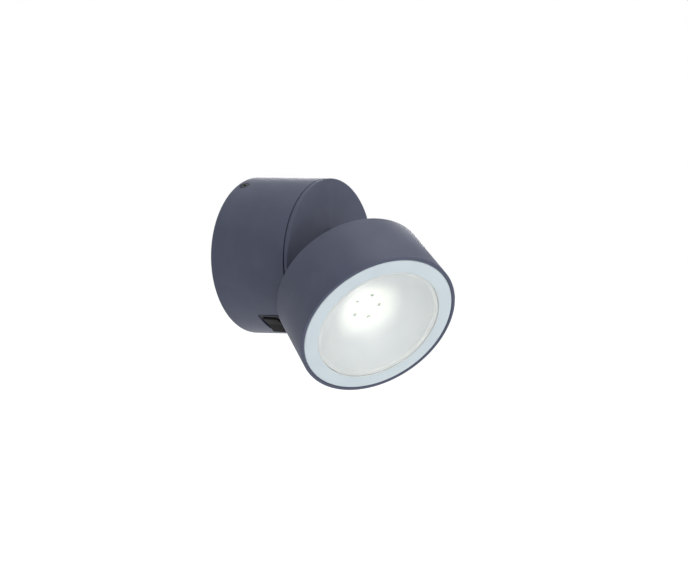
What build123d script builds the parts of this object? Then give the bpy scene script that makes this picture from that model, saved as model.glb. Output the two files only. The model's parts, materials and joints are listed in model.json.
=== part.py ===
# Pivoting spotlight wall light: a round base drum on the wall, a swivel disc on its
# front, and a round lamp head that tilts on a trunnion hinge in the middle of the disc.
# Row frame: origin at the centre of the wall face, wall plane XZ, room side is -Y, +Z up.
import os
from math import cos, radians, sin, sqrt, tan

from build123d import *

os.makedirs("parts", exist_ok=True)

# ---------------------------------------------------------------- driving sizes, mm
# rest pose
rest_pan = -36.2          # turn of the tilt plane from straight down, degrees
rest_tilt = 43.5          # head axis from the base axis, degrees
pan_limit = 170.0         # each way from straight down, degrees
tilt_limit = 50.0         # head stops here, degrees

# clearances
shaft_clearance = 0.05    # radial, turning fits
slip_clearance = 0.1      # radial, fixed pieces that slide together
moving_gap = 0.3          # smallest gap to a piece that moves past
swing_clearance = 0.9     # head cooling fins to the disc at full tilt
recess_clearance = 1.17   # same, along the head's axis
screw_end_gap = 0.5       # blind hole past the screw's end
joined_depth = 0.5        # how far joined features of one casting run into each other
cut_over = 1.0            # how far a cutting shape runs past the face that it cuts

# base drum
base_radius_wall = 50.0
base_radius_front = 48.05
base_depth = 51.9
base_wall = 2.6
front_wall = 3.5
base_edge_round = 0.5

# swivel disc and its hub
seam_gap = 0.8
disc_inset = 0.1
disc_thickness = 2.3
disc_bevel = 0.45
hub_radius = 19.0
hub_cup_wall = 4.0
hub_floor_depth = 6.7     # solid hub behind the disc, holds the hinge saddles
hub_edge_chamfer = 0.5
wire_hole_radius = 4.5    # through the hub's floor
hub_tail = 1.2            # hub past its retaining ring
boss_wall = 4.0
boss_depth = 8.0
thrust_washer_thickness = 1.0
thrust_washer_width = 7.7
spring_washer_height = 0.8
spring_washer_metal = 0.5
spring_washer_width = 3.2
retaining_ring_thickness = 1.0
retaining_ring_width = 3.6
retaining_groove_depth = 1.2
retaining_ring_opening = 6.0

# turn stop
stop_circle = 30.0
stop_pin_radius = 1.5
stop_pin_length = 3.2
stop_pin_seat = 1.3       # depth of the pin in the disc
stop_groove_depth = 2.0
stop_pin_chamfer = 0.3

# tilt hinge
trunnion_radius = 5.0
trunnion_length = 6.5
trunnion_chamfer = 0.4
knuckle_radius = 6.5
knuckle_half_width = 5.0
knuckle_gap = 0.6         # round the knuckle in its pocket
tilt_washer_thickness = 0.6
tilt_washer_radius = 6.3
cap_width = 6.0
cap_wall = 3.0
cap_lug_reach = 14.0
cap_lug_thickness = 3.0
cap_lug_round = 2.0
cap_screw_offset = 11.2
cap_screw_radius = 1.25
cap_screw_grip = 6.0
cap_screw_head_radius = 2.2
cap_screw_head_height = 2.2
cap_screw_drive = 1.1

# neck between hinge and head
neck_radius = 4.9
neck_bore_radius = 3.0
neck_flange_radius = 13.0
neck_flange_thickness = 3.0
neck_root_round = 1.6
neck_flange_round = 0.8
neck_screw_circle = 9.6
neck_screw_radius = 1.5
neck_screw_count = 3
neck_screw_grip = 7.0
neck_screw_head_radius = 2.6
neck_screw_head_height = 1.8
neck_screw_drive = 1.2

# lamp head housing
head_radius_back = 47.4
head_radius_front = 48.1
head_length = 40.0
head_gap = 28.9           # hinge axis to the head's back rim
head_wall = 2.1
head_edge_round = 0.6
head_inner_radius = 44.2
head_web = 3.2
head_web_depth = 23.9     # front rim to the seat of the light source
fin_count = 24
fin_thickness = 1.4
head_core_radius = 14.0

# lead from the light source down the neck
lead_sheath_radius = 2.2
lead_sheath_end = 5.0     # below the hinge axis
lead_strip = 3.0          # bare cores below the seat of the light source
lead_core_radius = 0.8
lead_core_spacing = 2.2

# front of the head
ring_recess = 0.2         # ring face below the head's front rim
ring_thickness = 3.2
ring_opening_radius = 37.7
ring_ledge_radius = 35.4
ring_chamfer = 0.4
glass_thickness = 1.5
glass_recess = 0.1        # glass face below the ring face
glass_rim_gap = 0.2       # radial
glass_chamfer = 0.3

# reflector
reflector_wall = 1.0
reflector_flange_radius = 41.0
reflector_flange_thickness = 1.2
throat_radius = 7.5
throat_lift = 1.0         # throat above the emitter face

# light source
pad_radius = 12.0
pad_thickness = 0.5
board_radius = 18.0
board_thickness = 1.6
emitter_radius = 6.5
emitter_height = 0.9
emitter_crown = 0.35
holder_radius = 17.6
holder_height = 1.4
holder_screw_circle = 15.0
holder_screw_radius = 1.25
holder_screw_grip = 1.6   # into the web
holder_screw_head_radius = 2.2
holder_screw_head = 1.1
holder_screw_drive = 1.0
holder_screw_end_gap = 0.3
holder_tab_width = 2.4
holder_tab_reach = 1.6    # notches at the throat
holder_edge_round = 0.5

# wall plate
plate_thickness = 1.5
plate_gap = 0.4           # plate rim to the drum's wall
dish_radius = 13.0
dish_height = 2.0
dish_slope = 2.5
slot_spacing = 60.0
slot_length = 12.0
slot_radius = 2.6
lug_width = 12.0
lug_height = 8.5
lug_thickness = 2.0
lug_gap = 0.9             # lug to the drum's wall
earth_angle = 150.0       # earth screw, from +X towards +Z
earth_edge = 11.0         # earth screw's axis to the plate's rim
earth_screw_radius = 2.0
earth_screw_head_radius = 3.6
earth_screw_head_height = 2.4
earth_screw_drive = 1.4
earth_end_gap = 0.2       # screw's end to the wall

# drum fixing screws
side_screw_angle = 118.0  # from +X towards +Z
side_screw_height = 5.0   # from the wall
side_screw_radius = 1.5
side_screw_head_radius = 2.9
side_screw_head_height = 1.5
side_screw_recess_radius = 3.3
side_screw_grip = 7.0
side_screw_drive = 1.3
side_screw_floor = 1.0    # metal under the head

# cable grommet
grommet_bore_radius = 4.2
grommet_neck_radius = 7.4
grommet_flange_radius = 10.0
grommet_flange_thickness = 1.5
grommet_wall_gap = 0.4
grommet_lip_slope = 1.5

# terminal block
terminal_width = 26.0
terminal_depth = 16.0
terminal_height = 14.0
terminal_offset = 26.0    # below the drum's axis
terminal_poles = 3
terminal_turret_radius = 3.4
terminal_turret_height = 3.0
terminal_turret_wall = 1.2
terminal_corner_round = 1.2
terminal_wire_radius = 1.7
terminal_wire_height = 5.6
terminal_screw_depth = 4.0
terminal_screw_rise = 0.5
terminal_slot_width = 0.8
terminal_slot_depth = 1.1
terminal_fixing_radius = 1.6

# light source supply
driver_length = 46.0
driver_width = 26.0
driver_height = 20.0
driver_offset = 22.0      # above the drum's axis
driver_back_gap = 10.4    # driver to the drum's front wall
driver_ear_reach = 9.0
driver_ear_width = 8.0
driver_ear_thickness = 3.0
driver_corner_round = 2.0
post_radius = 3.5
driver_screw_radius = 1.5
driver_screw_grip = 6.0
driver_screw_head_radius = 2.7
driver_screw_head_height = 1.8
driver_screw_drive = 1.2

# leads inside the drum
supply_lead_radius = 1.2
supply_lead_bend = 2.5
supply_lead_gap = 1.1     # to the drum's wall
supply_lead_low = 3.1     # above the terminal block
supply_lead_entry = 8.0   # below the middle of the driver
supply_lead_level = 3.6   # above the driver's inner face
switch_lead_radius = 0.9
switch_lead_bend = 1.6
switch_lead_run = 5.0     # straight out of the blade

# rocker switch
switch_angle = 237.7      # from +X towards +Z
switch_start = 23.5       # wall to the near edge of the switch frame
switch_frame_length = 21.0
switch_frame_width = 15.0
switch_frame_thickness = 1.6
switch_frame_round = 1.2
switch_frame_edge = 0.5
switch_frame_drop = 0.835 # frame's face below the drum's surface
switch_pocket_gap = 0.3
switch_pad_inset = 2.2
switch_pad_skin = 0.5     # pad stays below the drum's surface
switch_body_root = 0.2    # snap body into the frame
switch_pad_border = 2.5
switch_body_length = 18.8
switch_body_width = 12.8
switch_body_depth = 15.0
switch_window_width = 11.2
rocker_pivot_depth = 3.6  # below the frame's face
rocker_end_radius = 8.6
rocker_width = 10.6
rocker_rise = 1.0         # middle of the rocker above the frame's face
rocker_throw = 14.0       # degrees from on to off
rocker_skirt = 3.0        # below its pivot
rocker_well_floor = 1.5   # below the skirt
rocker_pin_radius = 1.2
rocker_pin_reach = 0.7
blade_length = 8.0
blade_width = 4.8
blade_thickness = 0.8
blade_spacing = 7.0
blade_chamfer = 1.0

# ---------------------------------------------------------------- worked-out places
disc_back = base_depth + seam_gap
disc_face = disc_back + disc_thickness
disc_radius = base_radius_front - disc_inset
hinge_height = disc_face                      # hinge axis lies in the disc's face
boss_back = base_depth - boss_depth
hub_bore_radius = hub_radius + shaft_clearance
ring_groove_front = boss_back - spring_washer_height
hub_end = ring_groove_front - retaining_ring_thickness - hub_tail
hub_floor = disc_back - hub_floor_depth
cap_inner = knuckle_half_width + tilt_washer_thickness + shaft_clearance
cap_outer = cap_inner + cap_width
trunnion_end = knuckle_half_width + trunnion_length
cap_middle = (cap_inner + cap_outer) / 2
saddle_radius = trunnion_radius + shaft_clearance
cap_radius = saddle_radius + cap_wall
head_front = head_gap + head_length
light_seat = head_front - head_web_depth
web_back = light_seat - head_web
ring_face = head_front - ring_recess
ring_seat = ring_face - ring_thickness
glass_face = ring_face - glass_recess
glass_back = glass_face - glass_thickness
mouth_radius = head_radius_front - head_wall
board_back = light_seat + pad_thickness
board_face = board_back + board_thickness
emitter_face = board_face + emitter_height
throat_height = emitter_face + throat_lift
front_wall_back = base_depth - front_wall
drum_taper = (base_radius_wall - base_radius_front) / base_depth
switch_middle = switch_start + switch_frame_width / 2
switch_face = base_radius_wall - drum_taper * switch_middle - switch_frame_drop
switch_pocket_floor = switch_face - switch_frame_thickness
switch_cut_end = switch_face + 2 * base_wall  # outside the drum, also at the pocket's ends
side_screw_seat = (base_radius_wall - drum_taper * side_screw_height
                   - base_wall + side_screw_floor)
side_screw_cut_end = side_screw_seat + 2 * base_wall
plate_radius = base_radius_wall - base_wall - plate_gap
earth_circle = plate_radius - earth_edge
head_taper = (head_radius_front - head_radius_back) / head_length
stop_rib_half = stop_circle * radians(180 - pan_limit) - stop_pin_radius - moving_gap
terminal_pitch = terminal_width / terminal_poles
wire_way_height = plate_thickness + terminal_wire_height
lead_line = terminal_depth / 2 - terminal_offset + supply_lead_low

# local frames: z runs out of the wall, y is up, x to the right seen from the room
wall_frame = Rot(90, 0, 0)
swivel_frame = wall_frame * Rot(0, 0, rest_pan)
head_frame = swivel_frame * Pos(0, 0, hinge_height) * Rot(rest_tilt, 0, 0)

MIN3 = (Align.CENTER, Align.CENTER, Align.MIN)


# ---------------------------------------------------------------- shape helpers
def disc(radius, low, high):
    """Solid cylinder about z from low to high."""
    return Pos(0, 0, low) * Cylinder(radius, high - low, align=MIN3)


def ring(outer, inner, low, high):
    """Plain ring about z from low to high."""
    return disc(outer, low, high) - disc(inner, low, high)


def block(x_range, y_range, z_range):
    """Box between three pairs of limits."""
    sides = [high - low for low, high in (x_range, y_range, z_range)]
    centre = [(low + high) / 2 for low, high in (x_range, y_range, z_range)]
    return Pos(*centre) * Box(*sides)


def turned(*points):
    """Closed outline of (radius, height) points turned about z."""
    outline = make_face(Polyline(*points, close=True))
    return revolve(Plane.XZ * outline, Axis.Z)


def cross_rod(radius, low, high):
    """Cylinder about x from low to high."""
    return Rot(0, 90, 0) * disc(radius, low, high)


def drum_radius(height):
    """Outer radius of the base drum at a distance from the wall."""
    return base_radius_wall - drum_taper * height


def head_radius(height):
    """Outer radius of the head at a distance from the hinge axis."""
    return head_radius_back + head_taper * (height - head_gap)


def around(count, start=0.0):
    """Evenly spaced turns about z."""
    return [Rot(0, 0, start + 360.0 * k / count) for k in range(count)]


def lead(radius, bend, *points):
    """Round insulated wire along straight runs joined by arcs."""
    path = FilletPolyline(*points, radius=bend)
    return sweep(Plane(path @ 0, z_dir=path % 0) * Circle(radius), path)


def screw(shank_radius, grip, head_radius, head_height, drive_radius):
    """Socket screw along z: head above z = 0, shank below."""
    head = disc(head_radius, 0, head_height)
    head = fillet(head.edges().group_by(Axis.Z)[-1], min(head_height, head_radius) * 0.3)
    drive = extrude(RegularPolygon(drive_radius, 6), head_height * 0.6)
    shank = disc(shank_radius, -grip, 0)
    shank = chamfer(shank.edges().group_by(Axis.Z)[0], shank_radius * 0.3)
    return head + shank - Pos(0, 0, head_height * 0.4) * drive


# ---------------------------------------------------------------- base body
def make_base_housing():
    """Die-cast drum: tapered wall, front wall with the hub bearing, posts, switch seat."""
    inner_wall = base_radius_wall - base_wall
    inner_front = drum_radius(front_wall_back) - base_wall
    bearing_outer = hub_bore_radius + boss_wall
    body = turned(
        (inner_wall, 0), (base_radius_wall, 0), (base_radius_front, base_depth),
        (hub_bore_radius, base_depth), (hub_bore_radius, boss_back), (bearing_outer, boss_back),
        (bearing_outer, front_wall_back), (inner_front, front_wall_back),
    )
    rim = body.edges().filter_by(GeomType.CIRCLE).sort_by(Axis.Z)
    front_rim = [e for e in rim if abs(e.radius - base_radius_front) < 0.01]
    body = fillet(front_rim, base_edge_round)
    # recess that holds the thrust washer, and the groove for the turn stop
    washer_recess = thrust_washer_thickness - seam_gap
    washer_radius = hub_radius + moving_gap + thrust_washer_width
    body -= disc(washer_radius + slip_clearance, base_depth - washer_recess,
                 base_depth + cut_over)
    groove_half = stop_pin_radius + moving_gap
    groove = ring(stop_circle + groove_half, stop_circle - groove_half,
                  base_depth - stop_groove_depth, base_depth + cut_over)
    groove -= block((-stop_rib_half, stop_rib_half),
                    (-stop_circle - 2 * groove_half, -stop_circle + 2 * groove_half),
                    (0, base_depth + 2 * cut_over))
    body -= groove
    # posts for the light source supply
    post_x = driver_length / 2 + driver_ear_reach / 2
    for side in (-1, 1):
        post = disc(post_radius, front_wall_back - driver_back_gap,
                    front_wall_back + joined_depth)
        hole = disc(driver_screw_radius + slip_clearance, front_wall_back - driver_back_gap,
                    front_wall_back - driver_back_gap + driver_screw_grip + screw_end_gap)
        place = Pos(side * post_x, driver_offset, 0)
        body = body + place * post - place * hole
    # flat pad, pocket and cut-out for the rocker switch
    turn = Rot(0, 0, switch_angle)
    middle = switch_middle
    half_length = switch_frame_length / 2 + switch_pocket_gap
    half_width = switch_frame_width / 2 + switch_pocket_gap
    pad = block((switch_pocket_floor - switch_pad_inset, switch_cut_end),
                (-half_length - switch_pad_border, half_length + switch_pad_border),
                (middle - half_width - switch_pad_border, middle + half_width + switch_pad_border))
    cone = turned((0, 0), (base_radius_wall - switch_pad_skin, 0),
                  (base_radius_front - switch_pad_skin, base_depth), (0, base_depth))
    body += turn * pad & cone
    pocket = block((switch_pocket_floor, switch_cut_end), (-half_length, half_length),
                   (middle - half_width, middle + half_width))
    pocket = fillet(pocket.edges().filter_by(Axis.X), switch_frame_round)
    half_cut = (switch_body_length / 2 + slip_clearance, switch_body_width / 2 + slip_clearance)
    cut_out = block((switch_pocket_floor - switch_pad_inset - base_wall, switch_cut_end),
                    (-half_cut[0], half_cut[0]), (middle - half_cut[1], middle + half_cut[1]))
    body -= turn * (pocket + cut_out)
    # recessed holes for the two fixing screws
    for k in (0, 180):
        turn = Rot(0, 0, side_screw_angle + k) * Pos(0, 0, side_screw_height)
        body -= turn * cross_rod(side_screw_radius + slip_clearance,
                                 side_screw_seat - base_wall, side_screw_cut_end)
        body -= turn * cross_rod(side_screw_recess_radius, side_screw_seat,
                                 side_screw_cut_end)
    return body


def make_wall_plate():
    """Pressed steel plate: dished centre, two screw slots, two bent lugs."""
    hole = grommet_neck_radius + slip_clearance
    plate = turned(
        (hole, dish_height), (dish_radius, dish_height), (dish_radius + dish_slope, 0),
        (plate_radius, 0), (plate_radius, plate_thickness),
        (dish_radius + dish_slope + plate_thickness * 0.4, plate_thickness),
        (dish_radius + plate_thickness * 0.4, dish_height + plate_thickness),
        (hole, dish_height + plate_thickness),
    )
    slot = extrude(SlotOverall(slot_length, 2 * slot_radius), plate_thickness)
    for side in (-1, 1):
        plate -= Pos(side * slot_spacing / 2, 0, 0) * slot
    outer = base_radius_wall - base_wall - drum_taper * side_screw_height - lug_gap
    for k in (0, 180):
        lug = block((outer - lug_thickness, outer), (-lug_width / 2, lug_width / 2),
                    (0, plate_thickness + lug_height))
        lug = fillet(lug.edges().filter_by(Axis.X).group_by(Axis.Z)[-1], lug_width / 4)
        lug -= Pos(0, 0, side_screw_height) * cross_rod(side_screw_radius - slip_clearance,
                                                        0, base_radius_wall)
        plate += Rot(0, 0, side_screw_angle + k) * lug
    plate -= Pos(0, -terminal_offset, 0) * disc(terminal_fixing_radius, 0, plate_thickness)
    plate -= Rot(0, 0, earth_angle) * Pos(earth_circle, 0, 0) * disc(earth_screw_radius, 0,
                                                                     plate_thickness)
    return plate


def make_earth_screw():
    """Screw for the earth wire in the wall plate."""
    one = screw(earth_screw_radius - shaft_clearance, plate_thickness - earth_end_gap,
                earth_screw_head_radius, earth_screw_head_height, earth_screw_drive)
    return Rot(0, 0, earth_angle) * Pos(earth_circle, 0, plate_thickness) * one


def make_cable_grommet():
    """Rubber grommet: two flanges that grip the plate's dished centre."""
    back = grommet_wall_gap
    groove_low = dish_height
    groove_high = dish_height + plate_thickness
    front = groove_high + grommet_flange_thickness
    return turned(
        (grommet_bore_radius, back), (grommet_flange_radius, back),
        (grommet_flange_radius, groove_low), (grommet_neck_radius, groove_low),
        (grommet_neck_radius, groove_high), (grommet_flange_radius, groove_high),
        (grommet_flange_radius - grommet_lip_slope, front), (grommet_bore_radius, front),
    )


def make_housing_screws():
    """Two screws that hold the drum on the plate's lugs."""
    one = screw(side_screw_radius - 2 * slip_clearance, side_screw_grip, side_screw_head_radius,
                side_screw_head_height, side_screw_drive)
    one = Pos(side_screw_seat, 0, side_screw_height) * Rot(0, 90, 0) * one
    return [Rot(0, 0, side_screw_angle + k) * one for k in (0, 180)]


def make_terminal_block():
    """Three-pole terminal block with a turret over each clamp."""
    low = plate_thickness
    body = block((-terminal_width / 2, terminal_width / 2),
                 (-terminal_depth / 2, terminal_depth / 2), (low, low + terminal_height))
    body = fillet(body.edges().filter_by(Axis.Z), terminal_corner_round)
    top = low + terminal_height
    for k in range(terminal_poles):
        x = (k - (terminal_poles - 1) / 2) * terminal_pitch
        for y in (-terminal_depth / 4, terminal_depth / 4):
            body += Pos(x, y, 0) * disc(terminal_turret_radius, top - joined_depth,
                                        top + terminal_turret_height)
            body -= Pos(x, y, 0) * disc(terminal_turret_radius - terminal_turret_wall,
                                        top - terminal_screw_depth,
                                        top + terminal_turret_height)
        wire_way = Rot(90, 0, 0) * Cylinder(terminal_wire_radius, terminal_depth + 2 * cut_over)
        body -= Pos(x, 0, wire_way_height) * wire_way
    return Pos(0, -terminal_offset, 0) * body


def make_terminal_screws():
    """Slotted clamp screws in the terminal block's turrets."""
    top = plate_thickness + terminal_height
    radius = terminal_turret_radius - terminal_turret_wall - slip_clearance
    head = top + terminal_screw_rise
    half_slot = terminal_slot_width / 2
    one = disc(radius, top - terminal_screw_depth, head)
    one -= block((-radius, radius), (-half_slot, half_slot), (head - terminal_slot_depth, head))
    screws = []
    for k in range(terminal_poles):
        x = (k - (terminal_poles - 1) / 2) * terminal_pitch
        for y in (-terminal_depth / 4, terminal_depth / 4):
            screws.append(Pos(x, y - terminal_offset, 0) * one)
    return screws


def make_driver():
    """Potted supply for the light source, with an ear at each end."""
    back = front_wall_back - driver_back_gap
    body = block((-driver_length / 2, driver_length / 2), (-driver_width / 2, driver_width / 2),
                 (back - driver_height, back))
    body = fillet(body.edges().filter_by(Axis.Z), driver_corner_round)
    ear_span = driver_length / 2 + driver_ear_reach
    ears = block((-ear_span, ear_span), (-driver_ear_width / 2, driver_ear_width / 2),
                 (back - driver_ear_thickness, back))
    ears = fillet(ears.edges().filter_by(Axis.Z), driver_ear_width * 0.49)
    body += ears
    for side in (-1, 1):
        hole = disc(driver_screw_radius + slip_clearance, back - driver_ear_thickness, back)
        body -= Pos(side * (driver_length + driver_ear_reach) / 2, 0, 0) * hole
    return Pos(0, driver_offset, 0) * body


def make_driver_screws():
    """Two screws through the supply's ears into the drum's posts."""
    back = front_wall_back - driver_back_gap - driver_ear_thickness
    one = Rot(180, 0, 0) * screw(driver_screw_radius, driver_ear_thickness + driver_screw_grip,
                                 driver_screw_head_radius, driver_screw_head_height,
                                 driver_screw_drive)
    x = (driver_length + driver_ear_reach) / 2
    return [Pos(side * x, driver_offset, back) * one for side in (-1, 1)]


def by_wall(side, y, height):
    """Point of a lead's middle line close to the drum's wall, on the right or left side."""
    radius = drum_radius(height) - base_wall - supply_lead_gap - supply_lead_radius
    return (side * sqrt(radius ** 2 - y ** 2), y, height)


def driver_side(side, start_height):
    """Last points of a lead: along the drum's wall, then to the driver's end on that side."""
    level = front_wall_back - driver_back_gap - driver_height + supply_lead_level
    entry = driver_offset - supply_lead_entry
    turn_in = 2 * supply_lead_bend
    corner = by_wall(side, entry - turn_in, (start_height + 2 * level) / 3)
    return [
        by_wall(side, lead_line, start_height),
        corner,
        (corner[0] - side * turn_in, entry, level),
        (side * driver_length / 2, entry, level),
    ]


def make_driver_lead():
    """Lead from the terminal block round the wiring space to the driver's right end."""
    return lead(supply_lead_radius, supply_lead_bend,
                (terminal_pitch, lead_line - terminal_depth / 2, wire_way_height),
                (terminal_pitch, lead_line, wire_way_height),
                *driver_side(1, wire_way_height))


def make_switch_leads():
    """Two leads of the switch: one to the terminal block, one to the driver's left end."""
    reach = switch_pocket_floor - switch_body_depth - blade_length
    turn = radians(switch_angle)

    def off_blade(run, height):
        """Point straight out of a blade's end, towards the drum's axis."""
        return ((reach - run) * cos(turn), (reach - run) * sin(turn), height)

    low = switch_middle - blade_spacing / 2
    high = switch_middle + blade_spacing / 2
    to_terminal = lead(switch_lead_radius, switch_lead_bend,
                       off_blade(0, low), off_blade(switch_lead_run, low),
                       (-terminal_pitch, lead_line, wire_way_height),
                       (-terminal_pitch, lead_line - terminal_depth / 2, wire_way_height))
    to_driver = lead(switch_lead_radius, switch_lead_bend,
                     off_blade(0, high), off_blade(switch_lead_run, high),
                     *driver_side(-1, high))
    return [to_terminal, to_driver]


def switch_place(shape):
    """Put a shape drawn as (outward, along the drum, from the wall) at the switch."""
    return Rot(0, 0, switch_angle) * Pos(0, 0, switch_middle) * shape


def make_switch_body():
    """Moulded switch case: frame on the outside, snap body inside, hollow for the rocker."""
    floor = switch_pocket_floor
    top = floor + switch_frame_thickness
    pivot = top - rocker_pivot_depth
    frame = block((floor, top), (-switch_frame_length / 2, switch_frame_length / 2),
                  (-switch_frame_width / 2, switch_frame_width / 2))
    frame = fillet(frame.edges().filter_by(Axis.X), switch_frame_round)
    frame = fillet(frame.faces().sort_by(Axis.X)[-1].edges(), switch_frame_edge)
    body = block((floor - switch_body_depth, floor + switch_body_root),
                 (-switch_body_length / 2, switch_body_length / 2),
                 (-switch_body_width / 2, switch_body_width / 2))
    half_window = rocker_end_radius + moving_gap
    well = block((pivot - rocker_skirt - rocker_well_floor, top + cut_over),
                 (-half_window, half_window),
                 (-switch_window_width / 2, switch_window_width / 2))
    pins = Pos(pivot, 0, 0) * Cylinder(rocker_pin_radius + shaft_clearance,
                                       switch_body_width - slip_clearance)
    return frame + body - well - pins


def make_switch_terminals():
    """Blade terminals on the back of the switch case."""
    back = switch_pocket_floor - switch_body_depth
    one = block((back - blade_length, back), (-blade_thickness / 2, blade_thickness / 2),
                (-blade_width / 2, blade_width / 2))
    one = chamfer(one.edges().group_by(Axis.X)[0].filter_by(Axis.Y), blade_chamfer)
    return [Pos(0, side * blade_spacing / 2, 0) * one for side in (-1, 1)]


def make_switch_rocker():
    """Rocker with a shallow V top, round ends about its pivot and two pins."""
    pivot = switch_pocket_floor + switch_frame_thickness - rocker_pivot_depth
    half_throw = radians(rocker_throw / 2)
    apex = rocker_pivot_depth + rocker_rise
    end = rocker_end_radius + cut_over
    outline = make_face(Polyline((-rocker_skirt, -end), (apex + end * tan(half_throw), -end),
                                 (apex, 0), (apex + end * tan(half_throw), end),
                                 (-rocker_skirt, end), close=True))
    outline = outline & Circle(rocker_end_radius)
    key = extrude(outline, rocker_width / 2, both=True)
    pins = Cylinder(rocker_pin_radius, rocker_width + 2 * rocker_pin_reach)
    rocker = key + pins
    return Pos(pivot, 0, 0) * Rot(0, 0, -rocker_throw / 2) * rocker


def make_thrust_washer():
    """Slippery washer that the swivel disc turns on."""
    inner = hub_radius + moving_gap
    top = disc_back
    return ring(inner + thrust_washer_width, inner, top - thrust_washer_thickness, top)


# ---------------------------------------------------------------- swivel body
def make_swivel_disc():
    """Disc and hub in one casting, with the hinge's lower saddles and the knuckle pocket."""
    disc_plate = disc(disc_radius, disc_back, disc_face)
    disc_plate = chamfer(disc_plate.edges().group_by(Axis.Z)[-1], disc_bevel)
    hub = disc(hub_radius, hub_end, disc_back + joined_depth)
    hub = chamfer(hub.edges().group_by(Axis.Z)[0], hub_edge_chamfer)
    part = disc_plate + hub
    part -= disc(hub_radius - hub_cup_wall, hub_end - cut_over, hub_floor)
    part -= ring(hub_radius + cut_over, hub_radius - retaining_groove_depth,
                 ring_groove_front - retaining_ring_thickness - shaft_clearance,
                 ring_groove_front + shaft_clearance)
    hinge = Pos(0, 0, hinge_height)
    pocket_radius = knuckle_radius + knuckle_gap
    part -= hinge * cross_rod(saddle_radius, -cap_outer, cap_outer)
    part -= hinge * cross_rod(pocket_radius, -cap_inner, cap_inner)
    # notch that lets the neck lie over at full tilt
    tilt = radians(tilt_limit)
    neck_start = sqrt(pocket_radius ** 2 - neck_radius ** 2)
    notch_depth = neck_radius * sin(tilt) - neck_start * cos(tilt) + 2 * moving_gap
    notch_reach = pocket_radius + neck_radius * cos(tilt)
    part -= block((-cap_inner, cap_inner), (-notch_reach, 0),
                  (hinge_height - notch_depth, hinge_height + cut_over))
    part -= disc(wire_hole_radius, hub_floor - cut_over, hinge_height)
    for x in (-cap_middle, cap_middle):
        for y in (-cap_screw_offset, cap_screw_offset):
            part -= Pos(x, y, 0) * disc(cap_screw_radius,
                                        disc_face - cap_screw_grip - screw_end_gap,
                                        disc_face + cut_over)
    part -= Pos(0, stop_circle, 0) * disc(stop_pin_radius + shaft_clearance,
                                          disc_back - cut_over, disc_back + stop_pin_seat)
    return part


def make_tilt_cap(side):
    """Half-round bearing cap with two screw lugs, over one trunnion."""
    arch = Circle(cap_radius) & Pos(0, cap_radius / 2) * Rectangle(3 * cap_radius, cap_radius)
    lugs = Pos(0, cap_lug_thickness / 2) * Rectangle(2 * cap_lug_reach, cap_lug_thickness)
    outline = arch + lugs - Circle(saddle_radius)
    cap = extrude(outline, cap_width)
    # drawn across the disc, standing on its face
    cap = Plane((0, 0, 0), x_dir=(0, 1, 0), z_dir=(1, 0, 0)) * cap
    corners = cap.edges().filter_by(Axis.Z).group_by(Axis.Y)
    cap = fillet(corners[0] + corners[-1], cap_lug_round)
    for y in (-cap_screw_offset, cap_screw_offset):
        cap -= Pos(cap_width / 2, y, 0) * disc(cap_screw_radius + slip_clearance,
                                               -cut_over, cap_radius)
    start = cap_inner if side > 0 else -cap_outer
    return Pos(start, 0, hinge_height) * cap


def make_cap_screws():
    """Four socket screws that clamp the bearing caps."""
    one = screw(cap_screw_radius - shaft_clearance, cap_lug_thickness + cap_screw_grip,
                cap_screw_head_radius, cap_screw_head_height, cap_screw_drive)
    return [Pos(x, y, disc_face + cap_lug_thickness) * one
            for x in (-cap_middle, cap_middle) for y in (-cap_screw_offset, cap_screw_offset)]


def make_spring_washer():
    """Conical spring washer that keeps the swivel from turning by itself."""
    inner = hub_radius + moving_gap
    outer = inner + spring_washer_width
    high = boss_back
    low = ring_groove_front
    return turned((inner, low), (outer, high - spring_washer_metal), (outer, high),
                  (inner, low + spring_washer_metal))


def make_retaining_ring():
    """Open ring in the hub's groove, behind the bearing."""
    inner = hub_radius - retaining_groove_depth + shaft_clearance
    body = ring(inner + retaining_ring_width, inner,
                ring_groove_front - retaining_ring_thickness, ring_groove_front)
    half = retaining_ring_opening / 2
    return body - block((-half, half), (0, inner + retaining_ring_width + cut_over),
                        (0, disc_face))


def make_stop_pin():
    """Pin in the disc's back that runs in the drum's groove."""
    top = disc_back + stop_pin_seat
    pin = disc(stop_pin_radius, top - stop_pin_length, top)
    pin = chamfer(pin.edges().group_by(Axis.Z)[0], stop_pin_chamfer)
    return Pos(0, stop_circle, 0) * pin


# ---------------------------------------------------------------- head body
def make_neck():
    """Hollow neck: knuckle and trunnions on the hinge axis, tube, flange to the head."""
    tube = disc(neck_radius, 0, head_gap - neck_flange_thickness + joined_depth)
    flange = disc(neck_flange_radius, head_gap - neck_flange_thickness, head_gap)
    flange = fillet(flange.edges().group_by(Axis.Z)[0], neck_flange_round)
    part = tube + flange
    root = [e for e in part.edges().filter_by(GeomType.CIRCLE)
            if abs(e.radius - neck_radius) < 0.01
            and abs(e.center().Z - head_gap + neck_flange_thickness) < 0.01]
    part = fillet(root, neck_root_round)
    part += cross_rod(knuckle_radius, -knuckle_half_width, knuckle_half_width)
    trunnions = cross_rod(trunnion_radius, -trunnion_end, trunnion_end)
    part += chamfer(trunnions.edges().filter_by(GeomType.CIRCLE), trunnion_chamfer)
    part -= disc(neck_bore_radius, -knuckle_radius - cut_over, head_gap)
    for turn in around(neck_screw_count, 90):
        part -= turn * Pos(neck_screw_circle, 0, 0) * disc(
            neck_screw_radius + slip_clearance, head_gap - neck_flange_thickness, head_gap)
    return part


def make_neck_screws():
    """Screws through the neck's flange into the head."""
    one = Rot(180, 0, 0) * screw(neck_screw_radius, neck_flange_thickness + neck_screw_grip,
                                 neck_screw_head_radius, neck_screw_head_height,
                                 neck_screw_drive)
    low = head_gap - neck_flange_thickness
    return [turn * Pos(neck_screw_circle, 0, low) * one
            for turn in around(neck_screw_count, 90)]


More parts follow.
